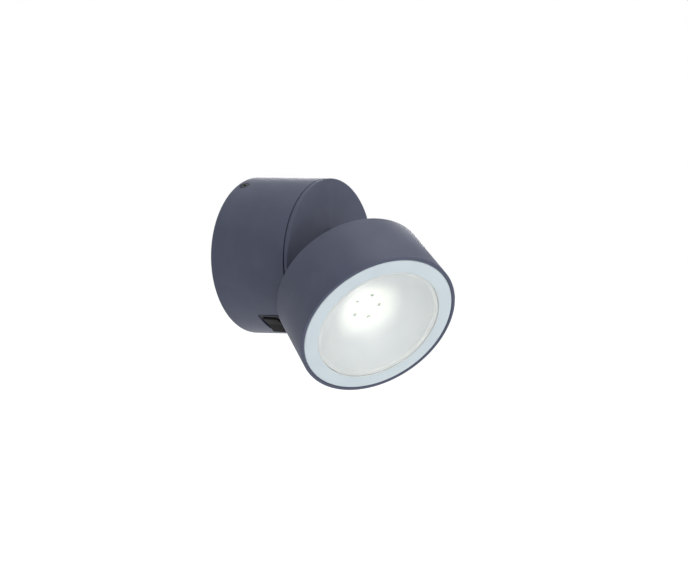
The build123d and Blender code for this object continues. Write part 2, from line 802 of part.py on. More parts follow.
def make_tilt_washers():
    """Friction washers on the trunnions, between knuckle and caps."""
    low = knuckle_half_width
    high = low + tilt_washer_thickness
    inner = trunnion_radius + shaft_clearance
    pieces = []
    for side in (-1, 1):
        span = sorted((side * low, side * high))
        pieces.append(cross_rod(tilt_washer_radius, *span) - cross_rod(inner, *span))
    return pieces


def make_head_housing():
    """Die-cast head: tapered sleeve, web, core and radial cooling fins in the back recess."""
    slope = tan(radians(tilt_limit))
    recess_floor = disc_radius * sin(radians(tilt_limit)) + recess_clearance
    fin_root = (head_gap * cos(radians(tilt_limit)) - swing_clearance) / sin(radians(tilt_limit))
    fin_shoulder = fin_root + (recess_floor - head_gap) / slope
    recess_wall = head_radius(web_back) - head_wall
    body = turned(
        (0, head_gap), (head_core_radius, head_gap), (head_core_radius, web_back),
        (recess_wall, web_back), (head_radius_back - head_wall, head_gap),
        (head_radius_back, head_gap), (head_radius_front, head_front),
        (mouth_radius, head_front), (mouth_radius, ring_seat), (head_inner_radius, ring_seat),
        (head_inner_radius, light_seat), (0, light_seat),
    )
    rims = [e for e in body.edges().filter_by(GeomType.CIRCLE)
            if min(abs(e.radius - head_radius_back), abs(e.radius - head_radius_front)) < 0.01]
    body = fillet(rims, head_edge_round)
    fin_outline = make_face(Polyline(
        (head_core_radius - joined_depth, head_gap), (fin_root, head_gap),
        (fin_shoulder, recess_floor), (recess_wall + head_wall / 2, recess_floor),
        (recess_wall + head_wall / 2, web_back + joined_depth),
        (head_core_radius - joined_depth, web_back + joined_depth), close=True))
    fin = extrude(Plane.XZ * fin_outline, fin_thickness / 2, both=True)
    body = body + [turn * fin for turn in around(fin_count, 180.0 / fin_count)]
    body -= disc(neck_bore_radius, head_gap - cut_over, light_seat + cut_over)
    for turn in around(neck_screw_count, 90):
        body -= turn * Pos(neck_screw_circle, 0, 0) * disc(
            neck_screw_radius + shaft_clearance, head_gap,
            head_gap + neck_screw_grip + screw_end_gap)
    for turn in around(2, 45):
        body -= turn * Pos(holder_screw_circle, 0, 0) * disc(
            holder_screw_radius + shaft_clearance,
            light_seat - holder_screw_grip - holder_screw_end_gap, light_seat + cut_over)
    return body


def make_led_lead():
    """Two-core lead down the neck: sheath in the bore, bare cores up to the board."""
    strip = light_seat - lead_strip
    body = disc(lead_sheath_radius, -lead_sheath_end, strip)
    for side in (-1, 1):
        body += Pos(side * lead_core_spacing / 2, 0, 0) * disc(
            lead_core_radius, strip - joined_depth, board_back)
    return body


def make_thermal_pad():
    """Soft pad that carries heat from the board to the web."""
    return ring(pad_radius, neck_bore_radius, light_seat, board_back)


def make_led_board():
    """Round metal-cored board of the light source."""
    board = disc(board_radius, board_back, board_face)
    for turn in around(2, 45):
        board -= turn * Pos(holder_screw_circle, 0, 0) * disc(
            holder_screw_radius + slip_clearance, board_back, board_face)
    return board


def make_led_emitter():
    """Round light-emitting face with a low crown."""
    sphere_radius = (emitter_radius ** 2 + emitter_crown ** 2) / (2 * emitter_crown)
    body = disc(emitter_radius, board_face, emitter_face)
    dome = Pos(0, 0, emitter_face - sphere_radius) * Sphere(sphere_radius)
    return body & dome


def make_led_holder():
    """Moulded ring that clamps the board and centres the reflector's throat."""
    top = board_face + holder_height
    body = ring(holder_radius, throat_radius + moving_gap, board_face, top)
    body = fillet(body.edges().group_by(Axis.Z)[-1].sort_by(SortBy.RADIUS)[-1],
                  holder_edge_round)
    for turn in around(4, 45):
        body -= turn * block((0, throat_radius + holder_tab_reach),
                             (-holder_tab_width / 2, holder_tab_width / 2), (0, top + cut_over))
    for turn in around(2, 45):
        body -= turn * Pos(holder_screw_circle, 0, 0) * disc(
            holder_screw_radius + slip_clearance, board_face, top)
    return body


def make_holder_screws():
    """Screws through holder and board into the head's web."""
    top = board_face + holder_height
    grip = top - light_seat + holder_screw_grip
    one = screw(holder_screw_radius, grip, holder_screw_head_radius, holder_screw_head,
                holder_screw_drive)
    return [turn * Pos(holder_screw_circle, 0, top) * one for turn in around(2, 45)]


def make_reflector():
    """Spun reflector: parabola from throat to mouth, flat flange under the front ring."""
    curve = (ring_seat - throat_height) / (ring_ledge_radius ** 2 - throat_radius ** 2)

    def bowl(inset):
        """Parabola from throat to mouth, moved outwards by inset."""
        start = Vector(throat_radius + inset, throat_height)
        finish = Vector(ring_ledge_radius + inset, ring_seat)
        middle = (start.X + finish.X) / 2
        rise = 2 * curve * throat_radius * (middle - start.X)
        return Bezier(start, Vector(middle, start.Y + rise), finish)

    inner = bowl(0)
    outer = bowl(reflector_wall)
    skin = make_face([inner, outer, Line(inner @ 0, outer @ 0), Line(inner @ 1, outer @ 1)])
    shell = revolve(Plane.XZ * skin, Axis.Z)
    flange = ring(reflector_flange_radius, ring_ledge_radius + reflector_wall / 2,
                  ring_seat - reflector_flange_thickness, ring_seat)
    collar = ring(throat_radius + reflector_wall, throat_radius,
                  board_face + holder_height + slip_clearance, throat_height + slip_clearance)
    return shell + flange + collar


def make_front_ring():
    """Satin ring in the head's mouth, rebated for the glass."""
    outer = mouth_radius - slip_clearance
    body = turned(
        (ring_ledge_radius, ring_seat), (outer, ring_seat), (outer, ring_face - ring_chamfer),
        (outer - ring_chamfer, ring_face), (ring_opening_radius, ring_face),
        (ring_opening_radius, glass_back), (ring_ledge_radius, glass_back),
    )
    return body


def make_front_glass():
    """Clear glass in the ring's rebate."""
    glass = disc(ring_opening_radius - glass_rim_gap, glass_back, glass_face)
    return chamfer(glass.edges().group_by(Axis.Z)[-1], glass_chamfer)


# ---------------------------------------------------------------- write the nodes
def write(name, shape, place):
    """Move a piece, or a group of like pieces, to its place and write its file."""
    pieces = shape if isinstance(shape, list) else [shape]
    solids = [place * solid for piece in pieces for solid in piece.solids()]
    whole = solids[0] if len(solids) == 1 else Compound(children=solids)
    whole.label = name
    export_step(whole, f"parts/{name}.step")


base_nodes = {
    "base_housing": make_base_housing(),
    "wall_plate": make_wall_plate(),
    "cable_grommet": make_cable_grommet(),
    "housing_screws": make_housing_screws(),
    "terminal_block": make_terminal_block(),
    "terminal_screws": make_terminal_screws(),
    "driver": make_driver(),
    "driver_screws": make_driver_screws(),
    "earth_screw": make_earth_screw(),
    "driver_lead": make_driver_lead(),
    "switch_leads": make_switch_leads(),
    "switch_body": switch_place(make_switch_body()),
    "switch_terminals": [switch_place(blade) for blade in make_switch_terminals()],
    "switch_rocker": switch_place(make_switch_rocker()),
    "thrust_washer": make_thrust_washer(),
}
swivel_nodes = {
    "swivel_disc": make_swivel_disc(),
    "tilt_cap_right": make_tilt_cap(1),
    "tilt_cap_left": make_tilt_cap(-1),
    "cap_screws": make_cap_screws(),
    "spring_washer": make_spring_washer(),
    "retaining_ring": make_retaining_ring(),
    "stop_pin": make_stop_pin(),
}
head_nodes = {
    "neck": make_neck(),
    "neck_screws": make_neck_screws(),
    "tilt_washers": make_tilt_washers(),
    "head_housing": make_head_housing(),
    "led_lead": make_led_lead(),
    "thermal_pad": make_thermal_pad(),
    "led_board": make_led_board(),
    "led_emitter": make_led_emitter(),
    "led_holder": make_led_holder(),
    "holder_screws": make_holder_screws(),
    "reflector": make_reflector(),
    "front_ring": make_front_ring(),
    "front_glass": make_front_glass(),
}

for nodes, place in ((base_nodes, wall_frame), (swivel_nodes, swivel_frame),
                     (head_nodes, head_frame)):
    for name, shape in nodes.items():
        write(name, shape, place)
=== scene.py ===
import json
from math import cos, hypot, pi, radians, sin, tan

import bmesh
import bpy
from mathutils import Matrix, Vector

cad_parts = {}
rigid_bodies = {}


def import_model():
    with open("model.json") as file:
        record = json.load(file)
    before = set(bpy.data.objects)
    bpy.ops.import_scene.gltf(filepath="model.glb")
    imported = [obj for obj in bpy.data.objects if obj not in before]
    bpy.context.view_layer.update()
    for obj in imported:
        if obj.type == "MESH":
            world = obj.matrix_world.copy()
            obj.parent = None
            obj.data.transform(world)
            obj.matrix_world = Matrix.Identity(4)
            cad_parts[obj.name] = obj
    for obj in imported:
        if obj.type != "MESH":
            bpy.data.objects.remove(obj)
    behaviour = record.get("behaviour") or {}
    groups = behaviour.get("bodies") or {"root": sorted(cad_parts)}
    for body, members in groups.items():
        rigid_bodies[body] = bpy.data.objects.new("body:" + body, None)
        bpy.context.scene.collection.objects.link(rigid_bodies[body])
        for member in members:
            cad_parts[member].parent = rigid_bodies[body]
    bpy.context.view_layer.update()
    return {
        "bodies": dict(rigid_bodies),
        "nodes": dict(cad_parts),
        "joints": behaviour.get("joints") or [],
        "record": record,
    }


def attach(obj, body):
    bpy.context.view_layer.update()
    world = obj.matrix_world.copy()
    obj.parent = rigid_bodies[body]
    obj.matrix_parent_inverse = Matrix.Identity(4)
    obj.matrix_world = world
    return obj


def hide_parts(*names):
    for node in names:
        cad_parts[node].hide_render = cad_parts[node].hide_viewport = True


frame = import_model()
mm = 0.001
ringSides = 160  # sides of a full turn on the large round pieces
smoothBelow = 35  # degrees, edges sharper than this stay crisp
print("frame loaded:", len(frame["nodes"]), "nodes")


# ---- places, read from the joints of the frame
joints = {joint["name"]: joint for joint in frame["joints"]}


def placeOf(xAxis, zAxis, origin):
    # a local frame with its z axis along zAxis and its x axis along xAxis
    zAxis = zAxis.normalized()
    xAxis = (xAxis - zAxis * xAxis.dot(zAxis)).normalized()
    turn = Matrix((xAxis, zAxis.cross(xAxis), zAxis)).transposed()
    return Matrix.Translation(origin) @ turn.to_4x4()


outward = Vector(joints["head_pan"]["axis"])  # out of the wall, along the drum
tiltAxis = Vector(joints["head_tilt"]["axis"])
tiltPivot = Vector(joints["head_tilt"]["pos_m"])
restTilt = -radians(joints["head_tilt"]["range_deg"][0])  # the head lies straight at its low limit
headAxis = Matrix.Rotation(restTilt, 3, tiltAxis) @ outward
rockerPivot = Vector(joints["switch_press"]["pos_m"])
rockerOut = rockerPivot - outward * rockerPivot.dot(outward)

headPlace = placeOf(tiltAxis, headAxis, tiltPivot)
switchPlace = placeOf(rockerOut, outward, rockerPivot)


def spanOf(node, place):
    # radii and heights of a node about the z axis of a place, in metres
    inverse = place.inverted()
    points = [inverse @ corner.co for corner in frame["nodes"][node].data.vertices]
    radii = [hypot(point.x, point.y) for point in points]
    heights = [point.z for point in points]
    return {"inner": min(radii), "outer": max(radii), "low": min(heights), "high": max(heights)}


# ---- modelling helpers
def inMetres(sizes):
    return {key: value * mm for key, value in sizes.items()}


def clearSelection():
    if bpy.context.object and bpy.context.object.mode == "EDIT":
        bpy.ops.object.mode_set(mode="OBJECT")
    bpy.ops.object.select_all(action="DESELECT")


def makeActive(piece):
    clearSelection()
    piece.select_set(True)
    bpy.context.view_layer.objects.active = piece


def pickEdges(piece, wanted):
    # in edit mode, leaves only the edges selected that wanted(edge) says yes to
    bpy.ops.mesh.select_mode(type="EDGE")
    bpy.ops.mesh.select_all(action="DESELECT")
    mesh = bmesh.from_edit_mesh(piece.data)
    for edge in mesh.edges:
        if wanted(edge):
            edge.select_set(True)
    bmesh.update_edit_mesh(piece.data)


def pickFaces(piece, wanted):
    # in edit mode, leaves only the faces selected that wanted(centre, normal) says yes to
    bpy.ops.mesh.select_mode(type="FACE")
    bpy.ops.mesh.select_all(action="DESELECT")
    mesh = bmesh.from_edit_mesh(piece.data)
    mesh.normal_update()
    for face in mesh.faces:
        if wanted(face.calc_center_median(), face.normal):
            face.select_set(True)
    bmesh.update_edit_mesh(piece.data)


def turnPiece(name, outline, sides=ringSides, closed=True):
    # a circle pulled out ring by ring along (radius, height) points, then bridged or capped
    clearSelection()
    radius, height = outline[0]
    bpy.ops.mesh.primitive_circle_add(vertices=sides, radius=radius, location=(0, 0, height))
    piece = bpy.context.object
    piece.name = name
    piece.data.name = name
    bpy.ops.object.mode_set(mode="EDIT")
    for (lastRadius, lastHeight), (radius, height) in zip(outline, outline[1:]):
        bpy.ops.mesh.extrude_edges_move(
            TRANSFORM_OT_translate={"value": (0, 0, height - lastHeight)})
        grow = radius / lastRadius
        bpy.ops.transform.resize(value=(grow, grow, 1), center_override=(0, 0, height))
    pickEdges(piece, lambda edge: edge.is_boundary)
    if closed:
        bpy.ops.mesh.bridge_edge_loops()
    else:
        bpy.ops.mesh.edge_face_add()
    bpy.ops.mesh.select_all(action="SELECT")
    bpy.ops.mesh.normals_make_consistent(inside=False)
    bpy.ops.object.mode_set(mode="OBJECT")
    return piece


def addModifier(piece, kind, **settings):
    # adds a modifier and applies it at once
    makeActive(piece)
    modifier = piece.modifiers.new(kind.lower(), kind)
    for key, value in settings.items():
        setattr(modifier, key, value)
    bpy.ops.object.modifier_apply(modifier=modifier.name)


def roundEdges(piece, width, steps=3, angle=30):
    addModifier(piece, "BEVEL", width=width, segments=steps, limit_method="ANGLE",
                angle_limit=radians(angle), harden_normals=False)


def settle(piece, place, body, finish, replaced=()):
    # puts a finished piece in its place, with its origin at the frame's origin
    makeActive(piece)
    piece.matrix_world = place @ piece.matrix_world
    bpy.ops.object.transform_apply(location=True, rotation=True, scale=True)
    bpy.ops.object.shade_smooth_by_angle(angle=radians(smoothBelow))
    piece.data.materials.clear()
    piece.data.materials.append(finish)
    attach(piece, body)
    if replaced:
        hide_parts(*replaced)
    return piece


# ---- finishes
def colour(code):
    # sRGB hex to linear
    parts = [int(code[k:k + 2], 16) / 255 for k in (1, 3, 5)]
    return [p / 12.92 if p <= 0.04045 else ((p + 0.055) / 1.055) ** 2.4 for p in parts] + [1]


def addNode(tree, kind, values=(), links=(), **settings):
    # one node with its settings, its socket values and what is linked into it
    node = tree.nodes.new(kind)
    for key, value in settings.items():
        setattr(node, key, value)
    for socket, value in dict(values).items():
        node.inputs[socket].default_value = value
    for socket, source in dict(links).items():
        tree.links.new(source, node.inputs[socket])
    return node


def newFinish(name, **values):
    # a material with its main shader; values are set on the shader's own sockets
    finish = bpy.data.materials.new(name)
    finish.use_nodes = True
    tree = finish.node_tree
    shader = tree.nodes["Principled BSDF"]
    for key, value in values.items():
        shader.inputs[key.replace("_", " ")].default_value = value
    return finish, tree, shader


def grainOf(tree, size, detail=2.0):
    # noise whose blotches are about size metres wide, on Object coordinates
    spot = addNode(tree, "ShaderNodeTexCoord").outputs["Object"]
    return addNode(tree, "ShaderNodeTexNoise", {"Scale": 1 / size, "Detail": detail},
                   {"Vector": spot})


def tintBy(tree, shader, source, codes):
    # base colour that drifts between two hex colours, over the middle of the noise's range
    ramp = addNode(tree, "ShaderNodeValToRGB", links={"Fac": source})
    ramp.color_ramp.elements[0].position = 0.35
    ramp.color_ramp.elements[1].position = 0.65
    ramp.color_ramp.elements[0].color = colour(codes[0])
    ramp.color_ramp.elements[1].color = colour(codes[1])
    tree.links.new(ramp.outputs["Color"], shader.inputs["Base Color"])


def roughBy(tree, shader, source, low, high):
    spread = addNode(tree, "ShaderNodeMapRange", {"To Min": low, "To Max": high},
                     {"Value": source})
    tree.links.new(spread.outputs["Result"], shader.inputs["Roughness"])


def bumpBy(tree, shader, source, height):
    # height in metres of the full swing of source
    bump = addNode(tree, "ShaderNodeBump", {"Distance": height, "Strength": 1.0},
                   {"Height": source})
    tree.links.new(bump.outputs["Normal"], shader.inputs["Normal"])


def paintedCasting(name, codes, rough):
    # polyester powder coat on die-cast aluminium: baked film, so matt with a soft orange peel.
    # The real peel is about 0.3 mm wide; it is drawn 0.9 mm wide, so that it shows at all.
    finish, tree, shader = newFinish(name, IOR=1.5)
    mottle = grainOf(tree, 14 * mm).outputs["Fac"]
    peel = grainOf(tree, 0.9 * mm, 3.0).outputs["Fac"]
    tintBy(tree, shader, mottle, codes)
    roughBy(tree, shader, peel, rough - 0.05, rough + 0.05)
    bumpBy(tree, shader, peel, 0.012 * mm)
    return finish


def plainMetal(name, codes, rough, streak=3.0):
    # bare or plated metal: sharp tint of its own, finely worked surface, faint stains
    finish, tree, shader = newFinish(name, Metallic=1.0)
    stain = grainOf(tree, streak * mm).outputs["Fac"]
    work = grainOf(tree, 0.25 * mm, 4.0).outputs["Fac"]
    tintBy(tree, shader, stain, codes)
    roughBy(tree, shader, work, rough - 0.08, rough + 0.08)
    bumpBy(tree, shader, work, 0.004 * mm)
    return finish


def mouldedPlastic(name, codes, rough, texture=0.35, depth=0.01, gloss=0.5):
    # moulded plastic or rubber: even colour, spark-eroded grain from the tool
    finish, tree, shader = newFinish(name, IOR=1.49, Specular_IOR_Level=gloss)
    flow = grainOf(tree, 9 * mm).outputs["Fac"]
    grain = grainOf(tree, texture * mm, 3.0).outputs["Fac"]
    tintBy(tree, shader, flow, codes)
    roughBy(tree, shader, grain, rough - 0.06, rough + 0.06)
    bumpBy(tree, shader, grain, depth * mm)
    return finish


powderCoat = paintedCasting("powder_coat_anthracite", ("#3a4055", "#3f455a"), 0.6)
hingeCoat = paintedCasting("powder_coat_hinge", ("#383d50", "#3e4356"), 0.5)
zincPlate = plainMetal("zinc_plated_steel", ("#b9bbbe", "#c0c2c2"), 0.36)
blackSteel = plainMetal("black_oxide_steel", ("#26272b", "#323338"), 0.42)
brass = plainMetal("turned_brass", ("#b8924a", "#caa55c"), 0.3)
blackAbs = mouldedPlastic("moulded_abs_black", ("#08080c", "#0c0c10"), 0.6, gloss=0.1)
frameAbs = mouldedPlastic("moulded_abs_charcoal", ("#2a2b35", "#30313b"), 0.6, gloss=0.25)
wireSleeve = mouldedPlastic("pvc_wire_insulation", ("#d6d5cf", "#e2e1dc"), 0.5)
rubber = mouldedPlastic("epdm_rubber", ("#141516", "#1c1d1e"), 0.72, 0.5, 0.02)
nylon = mouldedPlastic("moulded_nylon", ("#dfe0da", "#e8e9e4"), 0.45)
caseWhite = mouldedPlastic("moulded_polycarbonate_case", ("#dcdcd8", "#e6e6e3"), 0.4)
acetal = mouldedPlastic("acetal_slide_washer", ("#e2dfd4", "#ece9df"), 0.35)
siliconePad = mouldedPlastic("filled_silicone_pad", ("#8f9aa6", "#9ba5b0"), 0.8)
holderWhite = mouldedPlastic("moulded_pbt_holder", ("#e9e9e4", "#f1f1ec"), 0.5)
boardMask = mouldedPlastic("white_solder_mask", ("#e6e9e9", "#eff1f1"), 0.25, 0.6, 0.004)


def makeRingFinish():
    # satin lacquer over moulded polycarbonate: pale blue-white, soft sheen, no grain to see
    finish, tree, shader = newFinish("satin_lacquer_ring", IOR=1.5, Coat_Weight=0.15,
                                     Coat_Roughness=0.35)
    cloud = grainOf(tree, 20 * mm).outputs["Fac"]
    fine = grainOf(tree, 0.5 * mm, 3.0).outputs["Fac"]
    tintBy(tree, shader, cloud, ("#bfcbd2", "#c3cfd5"))
    roughBy(tree, shader, fine, 0.42, 0.5)
    return finish


def makeGlassFinish():
    # low-iron float glass: clear, with the least trace of green, no roughness
    return newFinish("float_glass", Base_Color=colour("#fcfefd"), Roughness=0.0, IOR=1.5,
                     Transmission_Weight=1.0)[0]


def makeReflectorFinish(glow):
    # anodised spun aluminium, etched matt: the film scatters most of the light, so the metal
    # share is kept at 0.45. The glow is painted light: the material's own emission, fading with
    # distance from the throat, standing for the source's light on the film; it doesn't come from
    # the source.
    finish, tree, shader = newFinish("matt_anodised_reflector_painted_glow", Metallic=0.45)
    cloud = grainOf(tree, 12 * mm).outputs["Fac"]
    fine = grainOf(tree, 0.4 * mm, 4.0).outputs["Fac"]
    tintBy(tree, shader, cloud, ("#d9dcdf", "#dfe1e3"))
    roughBy(tree, shader, fine, 0.62, 0.72)
    bumpBy(tree, shader, fine, 0.004 * mm)
    # painted light: emission strongest by the throat, fading outward over the bowl
    spot = addNode(tree, "ShaderNodeTexCoord").outputs["Object"]
    middle = headPlace @ Vector((0, 0, glow["height"] * mm))
    reach = addNode(tree, "ShaderNodeVectorMath", {1: middle}, {0: spot}, operation="DISTANCE")
    paintedGlowFade = addNode(tree, "ShaderNodeMapRange",
                   {"From Min": glow["near"] * mm, "From Max": glow["far"] * mm,
                    "To Min": glow["bright"], "To Max": 0.0},
                   {"Value": reach.outputs["Value"]}, interpolation_type="SMOOTHSTEP")
    shader.inputs["Emission Color"].default_value = colour(glow["tint"])
    tree.links.new(paintedGlowFade.outputs["Result"], shader.inputs["Emission Strength"])
    return finish


def makePhosphorFinish():
    # phosphor-filled silicone over the chips, lit: warm white, brighter than all round it
    return newFinish("lit_phosphor", Base_Color=colour("#ffe9a8"), Roughness=0.45,
                     Emission_Color=colour("#fffaf0"), Emission_Strength=12.0)[0]


ringLacquer = makeRingFinish()
clearGlass = makeGlassFinish()
# painted glow on the reflector, standing for the chip's light scattered by the film
paintedThroatGlow = {"height": 49.0, "near": 4.0, "far": 26.0, "bright": 0.5,
              "tint": "#fff9e6"}  # height from the pivot, near and far from the throat, in mm
mattReflectorWithPaintedGlow = makeReflectorFinish(paintedThroatGlow)
# painted light: the paler colour of the glass seat stands for the chip's light on it
seatPaintedLight = mouldedPlastic("satin_lacquer_seat_painted_light", ("#e2e6e6", "#e8ebeb"), 0.5)
clipPlastic = mouldedPlastic("moulded_clip_grey", ("#b7c0b5", "#c0c8be"), 0.5)
litPhosphor = makePhosphorFinish()

# every node of the frame gets the finish of its real piece
nodeFinishes = {
    "base_housing": powderCoat, "swivel_disc": powderCoat, "head_housing": powderCoat,
    "wall_plate": zincPlate, "cable_grommet": rubber, "housing_screws": blackSteel,
    "terminal_block": nylon, "terminal_screws": brass, "driver": caseWhite,
    "driver_screws": zincPlate, "switch_body": frameAbs, "switch_terminals": brass,
    "switch_rocker": blackAbs, "thrust_washer": acetal, "tilt_cap_right": hingeCoat,
    "tilt_cap_left": hingeCoat, "cap_screws": blackSteel, "spring_washer": blackSteel,
    "retaining_ring": blackSteel, "stop_pin": zincPlate, "neck": hingeCoat,
    "neck_screws": blackSteel, "tilt_washers": acetal, "thermal_pad": siliconePad,
    "led_board": boardMask, "led_emitter": litPhosphor, "led_holder": holderWhite,
    "holder_screws": zincPlate, "reflector": mattReflectorWithPaintedGlow, "front_ring": ringLacquer,
    "front_glass": clearGlass, "earth_screw": brass, "driver_lead": wireSleeve,
    "switch_leads": wireSleeve, "led_lead": wireSleeve,
}
for nodeName, node in frame["nodes"].items():
    node.data.materials.clear()
    node.data.materials.append(nodeFinishes[nodeName])
print("finishes made:", len(bpy.data.materials))


# ---- camera
cameraView = {"azimuth": -57.61, "elevation": 3.28, "distance": 632.7, "right": -53.31,
              "up": 18.50, "lens": 51.33, "film": 36.0}  # degrees and mm


def makeCamera(view):
    azimuth, elevation = radians(view["azimuth"]), radians(view["elevation"])
    back = Vector((sin(azimuth) * cos(elevation), -cos(azimuth) * cos(elevation), sin(elevation)))
    right = Vector((0, 0, 1)).cross(back).normalized()
    up = back.cross(right)
    spot = (back * view["distance"] - right * view["right"] - up * view["up"]) * mm
    clearSelection()
    bpy.ops.object.camera_add(location=spot, rotation=(0, 0, 0))
    camera = bpy.context.object
    camera.matrix_world = Matrix.Translation(spot) @ Matrix((right, up, back)).transposed().to_4x4()
    camera.data.lens = view["lens"]
    camera.data.sensor_width = view["film"]
    camera.data.clip_start = 0.01
    bpy.context.scene.camera = camera


makeCamera(cameraView)
print("camera set")


# ---- head shell: tapered sleeve, web and core in one casting, fins in the back recess
headShell = {"backRadius": 47.4, "wall": 2.1, "seatRadius": 44.2, "seatToRim": 23.9, "web": 3.2,
             "coreRadius": 14.0, "bore": 3.0, "ringSeat": 3.4, "edge": 0.6,
             "finCount": 24, "finRoot": 1.6, "finTip": 1.2, "finStart": 23.1,
             "finShoulder": 30.6, "finDrop": 9.0, "finSink": 1.0, "finEdge": 0.25}  # mm


def makeHeadShell(sizes):
    span = spanOf("head_housing", headPlace)
    low, high, front = span["low"], span["high"], span["outer"]
    size = inMetres(sizes)
    back = size["backRadius"]
    seat = high - size["seatToRim"]
    webBack = seat - size["web"]
    mouth = front - size["wall"]
    wallAtWeb = back + (front - back) * (webBack - low) / (high - low) - size["wall"]
    return turnPiece("head_shell", [
        (size["bore"], low), (size["coreRadius"], low), (size["coreRadius"], webBack),
        (wallAtWeb, webBack), (back - size["wall"], low), (back, low), (front, high),
        (mouth, high), (mouth, high - size["ringSeat"]),
        (size["seatRadius"], high - size["ringSeat"]),
        (size["seatRadius"], seat), (size["bore"], seat),
    ]), low, webBack, wallAtWeb


def cutAway(piece, spot, normal):
    # slices a piece by a plane, drops the part on the side that the normal points to
    bpy.ops.mesh.select_all(action="SELECT")
    bpy.ops.mesh.bisect(plane_co=spot, plane_no=Vector(normal).normalized(), use_fill=True,
                        clear_outer=True)


def makeFins(sizes, low, webBack, wallAtWeb):
    # each fin from two cubes: a tall one by the core, sliced along its slope, and a low one
    half = sizes["finRoot"] / 2 * mm
    inner = (sizes["coreRadius"] - sizes["finSink"]) * mm
    outer = wallAtWeb + sizes["wall"] / 2 * mm
    foot = webBack + sizes["finSink"] * mm
    start, shoulder = sizes["finStart"] * mm, sizes["finShoulder"] * mm
    floor = low + sizes["finDrop"] * mm
    blanks = []
    lowStart = shoulder - sizes["finSink"] * mm
    for first, last, top in ((inner, shoulder, low), (lowStart, outer, floor)):
        clearSelection()
        bpy.ops.mesh.primitive_cube_add(size=1, location=((first + last) / 2, 0, (top + foot) / 2))
        blank = bpy.context.object
        blank.dimensions = (last - first, 2 * half, foot - top)
        bpy.ops.object.transform_apply(location=True, rotation=False, scale=True)
        blanks.append(blank)
    makeActive(blanks[0])
    bpy.ops.object.mode_set(mode="EDIT")
    cutAway(blanks[0], (start, 0, low), (floor - low, 0, start - shoulder))
    bpy.ops.object.mode_set(mode="OBJECT")
    fin = blanks[0]
    addModifier(fin, "BOOLEAN", object=blanks[1], operation="UNION", solver="EXACT")
    bpy.data.objects.remove(blanks[1])
    makeActive(fin)
    bpy.ops.object.mode_set(mode="EDIT")
    draft = sizes["finTip"] / sizes["finRoot"]
    pickFaces(fin, lambda centre, normal: normal.z < -0.3)
    bpy.ops.transform.resize(value=(1, draft, 1), center_override=(0, 0, 0))
    bpy.ops.object.mode_set(mode="OBJECT")
    roundEdges(fin, sizes["finEdge"] * mm, 2)
    fins = []
    for k in range(sizes["finCount"]):
        copy = fin.copy()
        copy.data = fin.data.copy()
        bpy.context.collection.objects.link(copy)
        copy.matrix_world = Matrix.Rotation(2 * pi * (k + 0.5) / sizes["finCount"], 4, "Z")
        fins.append(copy)
    bpy.data.objects.remove(fin)
    return fins


def joinPieces(main, others):
    makeActive(main)
    for other in others:
        other.select_set(True)
    bpy.ops.object.join()
    return main


shell, shellLow, shellWeb, shellWall = makeHeadShell(headShell)
roundEdges(shell, headShell["edge"] * mm)
fins = makeFins(headShell, shellLow, shellWeb, shellWall)
joinPieces(shell, fins)
settle(shell, headPlace, "head", powderCoat, ["head_housing"])
print("head shell made")


# ---- ring in the mouth of the head
mouthRing = {"opening": 37.7, "rebate": 1.6, "chamfer": 0.4, "edge": 0.15}  # mm


def makeMouthRing(sizes):
    span = spanOf("front_ring", headPlace)
    size = inMetres(sizes)
    low, high, outer, ledge = span["low"], span["high"], span["outer"], span["inner"]
    return turnPiece("mouth_ring", [
        (ledge, low), (outer, low), (outer, high - size["chamfer"]),
        (outer - size["chamfer"], high), (size["opening"], high),
        (size["opening"], high - size["rebate"]), (ledge, high - size["rebate"]),
    ])


ring = makeMouthRing(mouthRing)
roundEdges(ring, mouthRing["edge"] * mm)
settle(ring, headPlace, "head", ringLacquer, ["front_ring"])


def paintLitSeat(piece, finish, opening):
    # the step that holds the glass, and the wall round it, are drawn paler than the face: painted
    # light, from the chip and the bowl falling on them
    piece.data.materials.append(finish)
    inverse = headPlace.inverted()
    for face in piece.data.polygons:
        centre = inverse @ face.center
        if hypot(centre.x, centre.y) < opening:
            face.material_index = 1


paintLitSeat(ring, seatPaintedLight, (mouthRing["opening"] + 0.05) * mm)


# ---- glass in the ring's rebate
lens = {"bevel": 0.3}  # mm


def makeLens(sizes):
    span = spanOf("front_glass", headPlace)
    low, high, outer = span["low"], span["high"], span["outer"]
    bevel = sizes["bevel"] * mm
    piece = turnPiece("front_lens", [(outer - bevel, low), (outer, low + bevel),
                                     (outer, high - bevel), (outer - bevel, high)], closed=False)
    bpy.ops.object.mode_set(mode="EDIT")
    pickFaces(piece, lambda centre, normal: abs(normal.z) > 0.99 and hypot(centre.x, centre.y) < mm)
    bpy.ops.mesh.inset(thickness=outer / 2)
    bpy.ops.object.mode_set(mode="OBJECT")
    return piece


glass = makeLens(lens)
settle(glass, headPlace, "head", clearGlass, ["front_glass"])


# ---- reflector bowl
bowl = {"throat": 7.5, "mouth": 35.4, "throatHeight": 49.0, "wall": 1.0, "flange": 41.0,
        "flangeThick": 1.2, "steps": 18, "edge": 0.12}  # mm


def makeBowl(sizes):
    span = spanOf("reflector", headPlace)
    top = span["high"]
    size = inMetres(sizes)
    throat, mouth, wall = size["throat"], size["mouth"], size["wall"]
    steepness = (top - size["throatHeight"]) / (mouth ** 2 - throat ** 2)

    def parabola(inset):
        radii = [throat + (mouth - throat) * k / sizes["steps"] for k in range(sizes["steps"] + 1)]
        return [(r + inset, size["throatHeight"] + steepness * (r ** 2 - throat ** 2))
                for r in radii]

    inner = parabola(0)
    outer = [point for point in parabola(wall) if point[1] < top - size["flangeThick"]]
    return turnPiece("reflector_bowl", inner + [(size["flange"], top),
                     (size["flange"], top - size["flangeThick"])] + outer[::-1]
                     + [(throat + wall, span["low"]), (throat, span["low"])])


reflector = makeBowl(bowl)
roundEdges(reflector, bowl["edge"] * mm, 2, 40)
settle(reflector, headPlace, "head", mattReflectorWithPaintedGlow, ["reflector"])
print("head front made")


